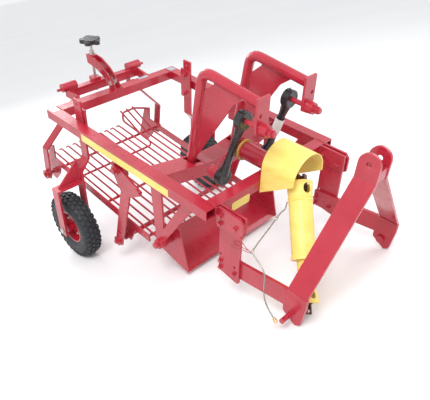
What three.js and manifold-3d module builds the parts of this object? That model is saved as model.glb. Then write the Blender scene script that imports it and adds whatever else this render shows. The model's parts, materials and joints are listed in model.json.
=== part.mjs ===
// Vibrating potato digger for a small tractor: welded tube frame, A-frame hitch, two depth wheels,
// digging share, rod sieve on four hangers, rocking drive with two bell-crank hoops, and a guarded
// drive shaft. Millimetres. It is drawn with the frame level, front towards -Y and up +Z, and then
// turned nose-down about X into its parked stance on both wheels and the ends of the hitch arms.
import * as THREE from 'three';
import Module from 'manifold-3d';

const wasm = await Module();
wasm.setup();

// ---- driving dimensions ----
const HALF_W = 450;        // frame, outside of the side beams
const BEAM_W = 60;         // beam section, width
const BEAM_H = 50;         // beam section, height
const BEAM_WALL = 5;
const BEAM_TOP = 835;
const FRAME_L = 1250;      // rear beam's rear face to front beam's front face
const GAP = 0.3;           // between touching pieces
const WHEEL_R = 200;
const WHEEL_W = 100;
const WHEEL_X = 518;
const WHEEL_Y = -221;
const ARM_END_Y = -1713;   // lowest corner of the hitch arm end, which stands on the ground
const ARM_END_Z = 440;
const HITCH_PIN_Y = -1685;
const HITCH_PIN_Z = 490;
const HITCH_PIN_R = 12;
const TOP_HOLE_Z = 1114;
const TOP_HOLE_Y = -1722;
const SHAFT_Z = 866;       // drive shaft axis
const SHIELD_Z = 902;      // centre of the shield's arch
const SHIELD_R = 106;
const HOOP_X = 155;        // planes of the two hoops
const HOOP_R = 24;
const LEVER_Y = -840;      // hoop pivots
const LEVER_Z = 738;
const ROD_X = HOOP_X;       // planes of the two ball-joint rods
const ROD_TOP_Y = -1166;
const ROD_TOP_Z = 1126;
const ROD_LOW_Y = -1058;
const ROD_LOW_Z = 786;
const SHARE_HALF = 347;
const SHARE_EDGE_Y = -1022;
const SHARE_EDGE_Z = 256;
const REAR_PIVOT_Y = 116;
const REAR_PIVOT_Z = 752;
const SIEVE_RODS = 14;
const SIEVE_PITCH = 50;
const SIEVE_SLOPE = 0.09;  // rise per length towards the rear

const BEAM_BOTTOM = BEAM_TOP - BEAM_H;
const INNER = HALF_W - BEAM_W;

// ---- solids ----
function toManifold(geometry) {
  const source = geometry.index ? geometry.toNonIndexed() : geometry;
  const position = source.getAttribute('position');
  const seen = new Map();
  const vertices = [];
  const corners = [];
  for (let i = 0; i < position.count; i += 1) {
    const p = [position.getX(i), position.getY(i), position.getZ(i)];
    const key = p.map((v) => Math.round(v * 1e4)).join(',');
    if (!seen.has(key)) {
      seen.set(key, vertices.length / 3);
      vertices.push(...p);
    }
    corners.push(seen.get(key));
  }
  const kept = [];
  for (let i = 0; i < corners.length; i += 3) {
    const [a, b, c] = corners.slice(i, i + 3);
    if (a !== b && b !== c && a !== c) kept.push(a, b, c);
  }
  const mesh = new wasm.Mesh({
    numProp: 3,
    vertProperties: new Float32Array(vertices),
    triVerts: new Uint32Array(kept),
  });
  return new wasm.Manifold(mesh);
}

function join(...geometries) {
  let solid = toManifold(geometries[0]);
  for (const geometry of geometries.slice(1)) solid = solid.add(toManifold(geometry));
  return fromManifold(solid);
}

function cut(base, ...tools) {
  let solid = toManifold(base);
  for (const tool of tools) solid = solid.subtract(toManifold(tool));
  return fromManifold(solid);
}

function fromManifold(solid) {
  const mesh = solid.simplify(0.02).getMesh();
  const positions = [];
  for (let i = 0; i < mesh.triVerts.length; i += 1) {
    const v = mesh.triVerts[i] * mesh.numProp;
    positions.push(mesh.vertProperties[v], mesh.vertProperties[v + 1], mesh.vertProperties[v + 2]);
  }
  const geometry = new THREE.BufferGeometry();
  geometry.setAttribute('position', new THREE.Float32BufferAttribute(positions, 3));
  return geometry;
}

function block(x0, x1, y0, y1, z0, z1) {
  const box = new THREE.BoxGeometry(x1 - x0, y1 - y0, z1 - z0);
  box.translate((x0 + x1) / 2, (y0 + y1) / 2, (z0 + z1) / 2);
  return box;
}

function extrude(points, depth) {
  const shape = new THREE.Shape(points.map((p) => new THREE.Vector2(p[0], p[1])));
  return new THREE.ExtrudeGeometry(shape, { depth, bevelEnabled: false, curveSegments: 12 });
}

// Outline in Y and Z, thick along X.
function plateX(points, x0, x1) {
  const geometry = extrude(points, x1 - x0);
  const turn = new THREE.Matrix4().set(0, 0, 1, x0, 1, 0, 0, 0, 0, 1, 0, 0, 0, 0, 0, 1);
  return geometry.applyMatrix4(turn);
}

// Outline in X and Z, thick along Y.
function plateY(points, y0, y1) {
  const geometry = extrude(points, y1 - y0);
  const turn = new THREE.Matrix4().set(1, 0, 0, 0, 0, 0, -1, y1, 0, 1, 0, 0, 0, 0, 0, 1);
  return geometry.applyMatrix4(turn);
}

// A round bar between two points.
function bar(from, to, radius, sides = 14, endRadius = radius) {
  const a = new THREE.Vector3(...from);
  const b = new THREE.Vector3(...to);
  const geometry = new THREE.CylinderGeometry(endRadius, radius, a.distanceTo(b), sides);
  const turn = new THREE.Quaternion().setFromUnitVectors(
    new THREE.Vector3(0, 1, 0),
    b.clone().sub(a).normalize(),
  );
  geometry.applyQuaternion(turn);
  const mid = a.add(b).multiplyScalar(0.5);
  geometry.translate(mid.x, mid.y, mid.z);
  return geometry;
}

// A profile of [distance, radius] turned about the line from a point along a direction.
function turned(profile, from, along, sides = 32) {
  const geometry = new THREE.LatheGeometry(profile.map((p) => new THREE.Vector2(p[1], p[0])), sides);
  const turn = new THREE.Quaternion().setFromUnitVectors(
    new THREE.Vector3(0, 1, 0),
    new THREE.Vector3(...along).normalize(),
  );
  geometry.applyQuaternion(turn);
  geometry.translate(...from);
  return geometry;
}

// A path through set stations, so that a straight run has no sections in it.
class StationPath extends THREE.Curve {
  constructor(stations) {
    super();
    this.stations = stations;
  }

  getPoint(t) {
    const place = t * (this.stations.length - 1);
    const i = Math.min(Math.floor(place + 1e-6), this.stations.length - 2);
    return this.stations[i].clone().lerp(this.stations[i + 1], place - i);
  }

  getSpacedPoints(divisions) {
    return Array.from({ length: divisions + 1 }, (_, i) => this.getPoint(i / divisions));
  }

  getTangentAt(u) {
    const i = Math.round(u * (this.stations.length - 1));
    const before = this.stations[Math.max(i - 1, 0)];
    const here = this.stations[i];
    const after = this.stations[Math.min(i + 1, this.stations.length - 1)];
    const tangent = new THREE.Vector3();
    if (i > 0) tangent.add(here.clone().sub(before).normalize());
    if (i < this.stations.length - 1) tangent.add(after.clone().sub(here).normalize());
    return tangent.normalize();
  }
}

function circleShape(radius, sides) {
  const circle = new THREE.Shape();
  for (let k = 0; k < sides; k += 1) {
    const angle = (2 * Math.PI * k) / sides;
    const x = radius * Math.cos(angle);
    const y = radius * Math.sin(angle);
    if (k === 0) circle.moveTo(x, y);
    else circle.lineTo(x, y);
  }
  return circle;
}

// A round bar along straight runs with rounded corners.
function bentBar(points, radius, corner, sides = 12, arcs = 6) {
  const p = points.map((q) => new THREE.Vector3(...q));
  const stations = [p[0]];
  for (let i = 1; i < p.length - 1; i += 1) {
    const back = p[i - 1].clone().sub(p[i]).setLength(corner).add(p[i]);
    const ahead = p[i + 1].clone().sub(p[i]).setLength(corner).add(p[i]);
    const arc = new THREE.QuadraticBezierCurve3(back, p[i], ahead);
    stations.push(...arc.getPoints(arcs));
  }
  stations.push(p[p.length - 1]);
  return new THREE.ExtrudeGeometry(circleShape(radius, sides), {
    steps: stations.length - 1, extrudePath: new StationPath(stations), bevelEnabled: false,
  });
}

// Mirror a geometry drawn on the +X side to the side wanted.
function onSide(geometry, side) {
  if (side > 0) return geometry;
  const source = geometry.index ? geometry.toNonIndexed() : geometry;
  const position = source.getAttribute('position');
  const out = [];
  for (let i = 0; i < position.count; i += 3) {
    for (const k of [i, i + 2, i + 1]) out.push(-position.getX(k), position.getY(k), position.getZ(k));
  }
  const mirrored = new THREE.BufferGeometry();
  mirrored.setAttribute('position', new THREE.Float32BufferAttribute(out, 3));
  return mirrored;
}

// ---- assembly ----
const group = new THREE.Group();
group.name = 'potato_harvester';
const RED = 0xb8202c;
const COLOURS = {
  red: RED, yellow: 0xe8c832, black: 0x18181a, rubber: 0x222224, steel: 0x8a8a86, wire: 0x9a927c,
};
const placed = [];

function add(name, geometry, finish) {
  const plain = geometry.index ? geometry.toNonIndexed() : geometry;
  plain.deleteAttribute('uv');
  plain.deleteAttribute('normal');
  const material = new THREE.MeshStandardMaterial({ color: COLOURS[finish] });
  const mesh = new THREE.Mesh(plain, material);
  mesh.name = name;
  placed.push(mesh);
  group.add(mesh);
}

function both(stem, finish, build) {
  for (const [label, side] of [['right', -1], ['left', 1]]) {
    add(`${label}_${stem}`, onSide(build(side), side), finish);
  }
}

// Side beams: open box tubes with the front ends open, closed at the rear.
both('side_beam', 'red', () => {
  const outer = block(INNER, HALF_W, -FRAME_L, 0, BEAM_BOTTOM, BEAM_TOP);
  const bore = block(
    INNER + BEAM_WALL, HALF_W - BEAM_WALL, -FRAME_L - 5, -BEAM_WALL,
    BEAM_BOTTOM + BEAM_WALL, BEAM_TOP - BEAM_WALL,
  );
  const pivotPad = block(400, 432, -642, -558, 700, BEAM_BOTTOM + 2);
  const pivot = bar([428, -600, 733], [466, -600, 733], 10, 20);
  const nut = bar([456.4, -600, 733], [468, -600, 733], 17, 6);
  return join(cut(outer, bore), pivotPad, pivot, nut);
});

function crossBeam(y0, y1) {
  const outer = block(-INNER + GAP, INNER - GAP, y0, y1, BEAM_BOTTOM, BEAM_TOP);
  const bore = block(
    -INNER - 5, INNER + 5, y0 + BEAM_WALL, y1 - BEAM_WALL,
    BEAM_BOTTOM + BEAM_WALL, BEAM_TOP - BEAM_WALL,
  );
  return cut(outer, bore);
}

// Rear beam with two lugs behind it for the lift frame.
{
  const lugs = [-1, 1].map((s) => plateX(
    [[-2, 800], [-2, 833], [30, 833], [38, 824], [38, 808], [30, 800]],
    s > 0 ? 254 : -264, s > 0 ? 264 : -254,
  ));
  const holes = [-1, 1].map((s) => bar([s * 240, 20, 818], [s * 280, 20, 818], 10.3));
  add('rear_beam', cut(join(crossBeam(-BEAM_W, 0), ...lugs), ...holes), 'red');
}

// Front beam with a lug plate at each end and the cut-out that takes the bearing housing.
{
  const y1 = -FRAME_L + BEAM_W;
  const lugs = [-1, 1].map((s) => block(
    s > 0 ? 354 : -365.7, s > 0 ? 365.7 : -354, -1398, -FRAME_L + 2, 742, BEAM_TOP - 1,
  ));
  const saddle = bar([0, -1300, SHAFT_Z], [0, -1150, SHAFT_Z], 44.3, 40);
  add('front_beam', cut(join(crossBeam(-FRAME_L, y1), ...lugs), saddle), 'red');
}

// Middle cross member: an inverted channel, lower in the middle, slotted for the two hoops.
{
  const top = [[-INNER + GAP, 822], [-60, 762], [60, 762], [INNER - GAP, 822]];
  const outline = (lift, sink) => [
    ...top.map(([x, z]) => [x, z + lift]),
    ...top.map(([x, z]) => [x, z - sink]).reverse(),
  ];
  const skin = plateY(outline(0, 8), -906, -796);
  const front = plateY(outline(0, 74), -906, -899);
  const rear = plateY(outline(0, 40), -803, -796);
  const ears = [];
  const slots = [];
  const pivots = [];
  for (const s of [-1, 1]) {
    slots.push(block(s * HOOP_X - 31, s * HOOP_X + 31, LEVER_Y - 42, LEVER_Y + 35, 700, 860));
    for (const e of [-1, 1]) {
      const x = s * HOOP_X + e * 36;
      ears.push(block(x - 4, x + 4, -900, -802, 715, 775));
    }
    pivots.push(bar([s * HOOP_X - 45, LEVER_Y, LEVER_Z], [s * HOOP_X + 45, LEVER_Y, LEVER_Z], 10.3));
  }
  add('middle_cross_member', cut(join(skin, front, rear, ...ears), ...slots, ...pivots), 'red');
}

// Hitch bracket: cover plate and hanging plate in one, bolted to the front beam's lug.
both('bracket', 'red', () => {
  const cover = plateX(
    [[-1252, 744], [-1252, 832], [-1262, 838], [-1384, 838], [-1406, 815], [-1406, 742], [-1392, 732],
      [-1262, 732]], 377, 389,
  );
  const hanging = plateX([[-1264, 474], [-1264, 800], [-1390, 800], [-1390, 462], [-1380, 456]], 366, 378);
  const spare = [[-1276, 574], [-1362, 545]].map(([y, z]) => bar([350, y, z], [400, y, z], 7, 12));
  const wireHole = bar([370, -1398, 752], [400, -1398, 752], 2.5, 10);
  return cut(join(cover, hanging), ...spare, wireHole);
});

// Lower hitch arm: a deep flat bar ending in the dropped plate that carries the hitch pin.
both('lower_arm', 'red', () => {
  const arm = plateX(
    [[-1262, 478], [-1390, 484], [-1640, 516], [-1642, 484], [ARM_END_Y, ARM_END_Z], [-1738, 458],
      [-1752, 560], [-1752, 612], [-1640, 612], [-1400, 582], [-1262, 570]], 349.7, 365.7,
  );
  const hole = bar([340, HITCH_PIN_Y, HITCH_PIN_Z], [380, HITCH_PIN_Y, HITCH_PIN_Z], HITCH_PIN_R + GAP, 16);
  return cut(arm, hole);
});

both('hitch_pin', 'red', () => {
  const pin = join(
    bar([341, HITCH_PIN_Y, HITCH_PIN_Z], [428, HITCH_PIN_Y, HITCH_PIN_Z], HITCH_PIN_R, 16),
    bar([338, HITCH_PIN_Y, HITCH_PIN_Z], [349.4, HITCH_PIN_Y, HITCH_PIN_Z], 21, 16),
  );
  return cut(pin, bar([414, HITCH_PIN_Y, HITCH_PIN_Z - 20], [414, HITCH_PIN_Y, HITCH_PIN_Z + 20], 4.5, 12));
});

// Inclined brace: one flat bar from the arm end up to the top link hole, bent upright at the top.
both('brace_bar', 'red', () => {
  const lean = (z) => (-22 * (z - 612)) / (TOP_HOLE_Z - 612);
  const profile = plateY(
    [[366, 612.3], [45, 1040], [45, 1166], [33, 1166], [33, 1036], [351, 612.3]], -1750, -1650,
  );
  const round = plateX([
    [-1770, 1200], [-1630, 1200], [-1630, 1000], [-1650, 1000],
    ...Array.from({ length: 19 }, (_, i) => {
      const angle = (Math.PI * i) / 18;
      return [-1700 + 50 * Math.cos(angle), 1114 + 50 * Math.sin(angle)];
    }),
    [-1750, 1000], [-1770, 1000],
  ], 20, 60);
  const hole = bar([20, -1700, TOP_HOLE_Z], [60, -1700, TOP_HOLE_Z], 12.8, 16);
  const solid = cut(profile, round, hole);
  const position = solid.getAttribute('position');
  for (let i = 0; i < position.count; i += 1) {
    position.setY(i, position.getY(i) + lean(position.getZ(i)));
  }
  return solid;
});
add('clevis_web', block(-32.7, 32.7, -1766, -1756, 1046, 1092), 'red');

// Depth wheel column: flat bar up past the side beam, joggled out, with the wheel fork below.
both('wheel_column', 'red', () => {
  const y0 = WHEEL_Y - 30;
  const y1 = WHEEL_Y + 30;
  const column = plateY([
    [377.7, 952], [389.7, 952], [389.7, 612], [444, 545], [444, 168], [432, 168], [432, 541], [377.7, 608],
  ], y0, y1);
  const top = block(440, 605, y0, y1, 474, 486);
  const outer = block(593, 605, y0, y1, 168, 480);
  const gusset = plateY([[442, 484], [588, 484], [442, 622]], WHEEL_Y - 5, WHEEL_Y + 5);
  const axleHole = bar([420, WHEEL_Y, 200], [620, WHEEL_Y, 200], 10.3, 16);
  const pinHole = bar([370, WHEEL_Y, 928], [400, WHEEL_Y, 928], 7, 16);
  return cut(join(column, top, outer, gusset), axleHole, pinHole);
});

// Clamp that holds the column against the side beam.
both('column_clamp', 'red', () => join(
  block(365, 377.4, WHEEL_Y - 40, WHEEL_Y + 40, 726, 902),
  ...[756, 872].map((z) => bar([356, WHEEL_Y, z], [366, WHEEL_Y, z], 14, 6)),
));

both('wheel_axle', 'steel', () => join(
  bar([424, WHEEL_Y, 200], [613, WHEEL_Y, 200], 10, 16),
  bar([605.4, WHEEL_Y, 200], [615, WHEEL_Y, 200], 16, 6),
  bar([422, WHEEL_Y, 200], [431.6, WHEEL_Y, 200], 16, 6),
));

function ring(profile, x, sides) {
  return turned(profile, [x, WHEEL_Y, 200], [1, 0, 0], sides);
}

both('wheel_rim', 'red', () => ring([
  [-64, 10.6], [-64, 22], [-12, 22], [-12, 84], [-38, 92], [-38, 99.7], [38, 99.7], [38, 92], [-2, 84],
  [-2, 22], [60, 22], [60, 10.6], [-64, 10.6],
], WHEEL_X, 36));

both('tyre', 'rubber', () => {
  const h = WHEEL_W / 2;
  return ring([
    [-38, 100], [-44, 112], [-h, 140], [-h, 160], [-44, 182], [-30, 196], [-12, WHEEL_R], [12, WHEEL_R],
    [30, 196], [44, 182], [h, 160], [h, 140], [44, 112], [38, 100], [-38, 100],
  ], WHEEL_X, 36);
});

// Front support: upright plate and diagonal brace under the side beam, carrying the share.
both('front_support', 'red', () => {
  const upright = plateX(
    [[-832, 784.7], [-908, 784.7], [-918, 402], [-900, 384], [-868, 384], [-856, 402]], 404, 416,
  );
  const diagonal = plateX([[-1078, 784.7], [-1146, 784.7], [-905, 425], [-905, 505]], 404, 416);
  const boss = bar([355.6, -886, 415], [436, -886, 415], 27, 16);
  return join(upright, diagonal, boss);
});

// Digging share with upright side plates.
{
  const t = 8;
  const bed = plateX([
    [SHARE_EDGE_Y, SHARE_EDGE_Z], [-763, 322], [-763, 322 + t], [SHARE_EDGE_Y + 26, SHARE_EDGE_Z + t + 6],
  ], -SHARE_HALF - 4, SHARE_HALF + 4);
  const cheeks = [-1, 1].map((s) => plateX(
    [[SHARE_EDGE_Y - 4, 256], [-962, 512], [-936, 505], [-886, 450], [-846, 400], [-800, 322], [-800, 304],
      [-960, 268]],
    s > 0 ? SHARE_HALF : -SHARE_HALF - 8, s > 0 ? SHARE_HALF + 8 : -SHARE_HALF,
  ));
  add('share', join(bed, ...cheeks), 'red');
}

// Sieve: parallel rods on cross bars between two side bars, hung by four stub axles.
const sieveZ = (y) => 379 + SIEVE_SLOPE * y;
{
  const parts = [];
  for (const s of [-1, 1]) {
    const x0 = s > 0 ? 368 : -376;
    parts.push(plateX([
      [214, 492], [160, 512], [166, 424], [-738, 345], [-738, 304], [-612, 306], [-566, 208],
      [-520, 208], [-486, 322], [120, 376], [140, 316], [200, 248], [290, 262],
    ], x0, x0 + 8));
    parts.push(bar([s * 370, -543, 232], [s * 402, -543, 232], 18, 14));
    parts.push(bar([s * 370, 172, 330], [s * 402, 172, 330], 18, 14));
    parts.push(bar([s * 400, -543, 232], [s * 452, -543, 232], 10, 14));
    parts.push(bar([s * 400, 172, 330], [s * 452, 172, 330], 10, 14));
  }
  for (let i = 0; i < SIEVE_RODS; i += 1) {
    const x = (i - (SIEVE_RODS - 1) / 2) * SIEVE_PITCH;
    const raised = x > 200;
    parts.push(bentBar(raised
      ? [[x, -742, sieveZ(-742)], [x, 70, sieveZ(70)], [x, 296, 482]]
      : [[x, -742, sieveZ(-742)], [x, 264, sieveZ(264)], [x, 288, sieveZ(264) - 20]], 6.5, 12, 6, 2));
  }
  for (const y of [-700, -330, 110]) {
    const z = sieveZ(y) - 11;
    parts.push(bar([-369, y, z], [369, y, z], 8, 10));
  }
  parts.push(bentBar([
    [-371, -40, 365], [212, -40, 365], [222, -12, 386], [196, 232, 442], [232, 285, 471], [335, 284, 474],
    [371, 205, 490],
  ], 7, 20, 8, 3));
  parts.push(bar([-370, -543, 232], [370, -543, 232], 14, 16));
  add('sieve', join(...parts), 'red');
}

// Middle hangers under the side beams.
both('middle_hanger', 'red', () => {
  const upper = plateX(
    [[-572, 752], [-640, 745], [-792, 690], [-780, 662], [-700, 612], [-628, 600], [-560, 712]],
    434.3, 444.3,
  );
  const lower = plateX([[-628, 640], [-700, 640], [-572, 212], [-514, 212]], 434.3, 444.3);
  const eye = bar([434.3, -543, 232], [452, -543, 232], 29, 16);
  const boss = bar([434.3, -600, 733], [456, -600, 733], 26, 16);
  const stub = bar([434.3, -769, 681], [452, -769, 681], 16, 20);
  return cut(
    join(upper, lower, eye, boss, stub),
    bar([420, -543, 232], [470, -543, 232], 10.5, 16),
    bar([420, -600, 733], [470, -600, 733], 10.5, 16),
  );
});
// Rear hangers from the lift frame, bent outwards halfway down.
const hangY = (z) => REAR_PIVOT_Y + (REAR_PIVOT_Z - z) * 0.136;
both('rear_hanger', 'red', () => {
  const shaped = plateY([
    [208.5, 748.5], [430, 516], [430, 300], [440, 300], [440, 520], [215.5, 755.5],
  ], -26, 26);
  const position = shaped.getAttribute('position');
  for (let i = 0; i < position.count; i += 1) {
    position.setY(i, position.getY(i) + hangY(position.getZ(i)));
  }
  const topBoss = bar([194, REAR_PIVOT_Y, REAR_PIVOT_Z], [230, REAR_PIVOT_Y, REAR_PIVOT_Z], 22, 20);
  const eye = bar([428, 172, 330], [458, 172, 330], 30, 20);
  return cut(
    join(shaped, topBoss, eye),
    bar([170, REAR_PIVOT_Y, REAR_PIVOT_Z], [250, REAR_PIVOT_Y, REAR_PIVOT_Z], 10.5, 16),
    bar([400, 172, 330], [480, 172, 330], 15.5, 16),
  );
});

// Lift frame behind the rear beam: two arms and a cross bar with the rear hanger pivots.
{
  const parts = [block(-250, 250, 92, 132, 801, 850)];
  for (const s of [-1, 1]) {
    parts.push(plateX([
      [6, 806], [6, 830], [18, 844], [90, 850], [131, 850], [131, 801], [92, 801], [34, 796], [14, 796],
    ], s > 0 ? 236 : -250, s > 0 ? 250 : -236));
    parts.push(bar([s * 184, 118, 864], [s * 276, 118, 864], 25, 16));
    parts.push(bar([s * 270, 118, 858], [s * 306, 118, 858], 8, 12));
    parts.push(bar([s * 246, 20, 818], [s * 270, 20, 818], 10, 14));
    parts.push(block(
      s > 0 ? 182 : -190, s > 0 ? 190 : -182, REAR_PIVOT_Y - 18, REAR_PIVOT_Y + 18, REAR_PIVOT_Z - 20, 804,
    ));
    parts.push(bar([s * 186, REAR_PIVOT_Y, REAR_PIVOT_Z], [s * 234, REAR_PIVOT_Y, REAR_PIVOT_Z], 10, 14));
  }
  const nut = block(-72, -24, 94, 146, 836, 872);
  add('lift_frame', cut(join(...parts, nut), bar([-48, 120, 780], [-48, 120, 900], 8.5, 20)), 'red');
}

// Adjuster bracket: curved twin plates from the rear beam to the screw.
{
  const side = (x0, x1) => plateX([
    [-58, 835.3], [-2, 835.3], [0, 862], [16, 908], [60, 944], [142, 955], [148, 1005], [60, 998],
    [-20, 962],
    [-52, 900],
  ], x0, x1);
  const bridge = block(-64, -32, 98, 144, 955, 1005);
  const foot = block(-76, -20, -58, -2, 835.3, 845);
  const solid = join(side(-72, -63), side(-33, -24), bridge, foot);
  const position = solid.getAttribute('position');
  for (let i = 0; i < position.count; i += 1) {
    const rise = Math.min(Math.max((position.getZ(i) - 845) / 99, 0), 1);
    position.setX(i, position.getX(i) + 38 * (1 - rise));
  }
  add('adjuster_bracket', cut(solid, bar([-48, 120, 940], [-48, 120, 1100], 8.5, 20)), 'red');
}
add('adjuster_screw', join(
  bar([-48, 120, 786], [-48, 120, 1072], 8, 20),
  bar([-48, 120, 1005.4], [-48, 120, 1031], 15, 20),
), 'steel');
{
  const lobes = [];
  for (let k = 0; k < 5; k += 1) {
    const angle = (2 * Math.PI * k) / 5;
    const x = -48 + 44 * Math.cos(angle);
    const y = 120 + 44 * Math.sin(angle);
    lobes.push(bar([x, y, 1072.4], [x, y, 1094], 18, 16));
  }
  add('adjuster_knob', join(bar([-48, 120, 1072.4], [-48, 120, 1097], 44, 30), ...lobes), 'black');
}

// Hoops: bell-crank levers of bent tube, pivoted inside the middle cross member.
both('hoop', 'red', () => {
  const x = HOOP_X;
  const line = [[x, LEVER_Y + 2, LEVER_Z + 15], [x, -920, 1268], [x, -1264, 1232]];
  const tube = bentBar(line, HOOP_R, 62, 14, 6);
  const hub = bar([x - 29, LEVER_Y, LEVER_Z], [x + 29, LEVER_Y, LEVER_Z], 26, 16);
  const tail = plateX([[-818, 750], [-862, 750], [-852, 668], [-828, 668]], x - 12, x + 12);
  const sheet = plateX([
    [-848, 800], [-868, 800], [-1108, 1172], [-1162, 1214], [-1172, 1232], [-1000, 1250], [-990, 1228],
    [-926, 1172], [-902, 1166],
  ], x - 4, x + 4);
  const plate = block(x - 38, x + 38, -1274, -1262, 1112, 1268);
  const collar = bar([x, -1266, ROD_TOP_Z], [x, -1310, ROD_TOP_Z], 31, 20, 27);
  const nut = bar([x, -1308, ROD_TOP_Z], [x, -1330, ROD_TOP_Z], 19, 6);
  const stud = bar([x, ROD_TOP_Y + 20, ROD_TOP_Z], [x, -1268, ROD_TOP_Z], 12, 16);
  const upperHole = bar([x + 16, -1250, 1190], [x + 16, -1290, 1190], 9, 16);
  return cut(
    join(tube, hub, tail, sheet, plate, collar, nut, stud),
    bar([x - 60, LEVER_Y, LEVER_Z], [x + 60, LEVER_Y, LEVER_Z], 10.5, 16),
    upperHole,
  );
});
both('hoop_pivot', 'steel', () => bar(
  [HOOP_X - 44, LEVER_Y, LEVER_Z], [HOOP_X + 44, LEVER_Y, LEVER_Z], 10, 14,
));

// Ball-joint rods: a heavy head at each end, hanging from the hoop plates to the rocker.
both('rod', 'black', () => {
  const x = ROD_X;
  const upper = new THREE.Vector3(x, ROD_TOP_Y, ROD_TOP_Z);
  const lower = new THREE.Vector3(x, ROD_LOW_Y, ROD_LOW_Z);
  const down = lower.clone().sub(upper).normalize();
  const head = (p) => bar([x, p.y - 17, p.z], [x, p.y + 17, p.z], 43, 28);
  const along = (from, length) => from.clone().addScaledVector(down, length).toArray();
  const shank = bar(along(upper, 36), along(lower, -36), 18, 16);
  const neckA = bar(along(upper, 20), along(upper, 84), 27, 16, 19);
  const neckB = bar(along(lower, -20), along(lower, -84), 27, 16, 19);
  const stud = bar([x, ROD_LOW_Y + 10, ROD_LOW_Z], [x, ROD_LOW_Y + 82, ROD_LOW_Z], 11, 16);
  const socket = bar([x, ROD_TOP_Y - 40, ROD_TOP_Z], [x, ROD_TOP_Y + 40, ROD_TOP_Z], 15, 20);
  return cut(join(head(upper), head(lower), shank, neckA, neckB, stud), socket);
});

// Rocker on the drive shaft, with a boss for each rod.
{
  const reachX = ROD_X + 28;
  const plate = plateY([
    [-40, SHAFT_Z + 34], [-62, SHAFT_Z + 2], [-reachX, ROD_LOW_Z], [-172, ROD_LOW_Z - 26],
    [-146, ROD_LOW_Z - 36], [-60, SHAFT_Z - 48], [60, SHAFT_Z - 48], [146, ROD_LOW_Z - 36],
    [172, ROD_LOW_Z - 26], [reachX, ROD_LOW_Z], [62, SHAFT_Z + 2], [40, SHAFT_Z + 34],
  ], ROD_LOW_Y + 46, ROD_LOW_Y + 58);
  const bosses = [-1, 1].map((s) => bar(
    [s * ROD_X, ROD_LOW_Y + 21, ROD_LOW_Z], [s * ROD_X, ROD_LOW_Y + 76, ROD_LOW_Z], 29, 20,
  ));
  const hub = bar([0, ROD_LOW_Y + 34, SHAFT_Z], [0, ROD_LOW_Y + 76, SHAFT_Z], 42, 24);
  const holes = [-1, 1].map((s) => bar(
    [s * ROD_X, ROD_LOW_Y, ROD_LOW_Z], [s * ROD_X, ROD_LOW_Y + 90, ROD_LOW_Z], 11.6, 16,
  ));
  const bore = bar([0, ROD_LOW_Y, SHAFT_Z], [0, ROD_LOW_Y + 90, SHAFT_Z], 18, 24);
  add('drive_rocker', cut(join(plate, hub, ...bosses), ...holes, bore), 'red');
}

// Bearing housing let into the front beam, its guard disc, and the input shaft with its yoke.
{
  const tube = cut(
    bar([0, -1252, SHAFT_Z], [0, -1056.3, SHAFT_Z], 44, 40),
    bar([0, -1300, SHAFT_Z], [0, -1040, SHAFT_Z], 18, 24),
  );
  add('bearing_housing', tube, 'red');
}
add('guard_disc', cut(
  bar([0, -1056, SHAFT_Z], [0, -1047, SHAFT_Z], 54, 40),
  bar([0, -1070, SHAFT_Z], [0, -1040, SHAFT_Z], 18, 24),
), 'yellow');

// Parked drive shaft: joint centre, and the direction it hangs in.
const JOINT = [0, -1386, SHAFT_Z];
const HANG = new THREE.Vector3(-285, -320, -362).normalize();
const PIN_AXIS = HANG.clone().cross(new THREE.Vector3(0, -1, 0)).normalize();
const at = (t, u = 0, w = 0) => {
  const side = PIN_AXIS.clone().cross(HANG);
  return new THREE.Vector3(...JOINT).addScaledVector(HANG, t).addScaledVector(PIN_AXIS, u)
    .addScaledVector(side, w).toArray();
};
{
  const ears = [];
  for (const s of [-1, 1]) {
    const base = new THREE.Vector3(...JOINT).addScaledVector(PIN_AXIS, s * 27);
    const back = base.clone().add(new THREE.Vector3(0, 52, 0));
    ears.push(bar(
      base.clone().addScaledVector(PIN_AXIS, -5).toArray(),
      base.clone().addScaledVector(PIN_AXIS, 5).toArray(), 17, 20,
    ));
    ears.push(bar(base.toArray(), back.toArray(), 5, 12));
    const strap = block(-5, 5, 0, 52, -15, 15);
    const turn = new THREE.Matrix4().makeBasis(
      PIN_AXIS, new THREE.Vector3(0, 1, 0), PIN_AXIS.clone().cross(new THREE.Vector3(0, 1, 0)),
    );
    turn.setPosition(base);
    ears.push(strap.applyMatrix4(turn));
  }
  const pinHole = bar(at(0, -60), at(0, 60), 8.4, 20);
  add('input_shaft', cut(join(
    bar([0, -1346, SHAFT_Z], [0, -972, SHAFT_Z], 17.4, 24),
    bar([0, -1350, SHAFT_Z], [0, -1328, SHAFT_Z], 34, 20),
    ...ears,
  ), pinHole), 'steel');
}

// Half-round shield over the joint, flanged to the front beam.
{
  const arch = (r, foot) => {
    const points = [[r, foot]];
    for (let i = 0; i <= 20; i += 1) {
      const angle = (Math.PI * i) / 20;
      points.push([r * Math.cos(angle), SHIELD_Z + r * Math.sin(angle)]);
    }
    points.push([-r, foot]);
    return points;
  };
  const hood = cut(
    plateY(arch(SHIELD_R, 770), -1432, -1250.3),
    plateY(arch(SHIELD_R - 4, 700), -1450, -1254.3),
    plateX([[-1254.3, 700], [-1254.3, 772], [-1440, 892], [-1440, 700]], -150, 150),
  );
  const passage = bar([0, -1270, SHAFT_Z], [0, -1240, SHAFT_Z], 44.3, 40);
  add('shaft_shield', cut(hood, passage), 'yellow');
}

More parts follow.
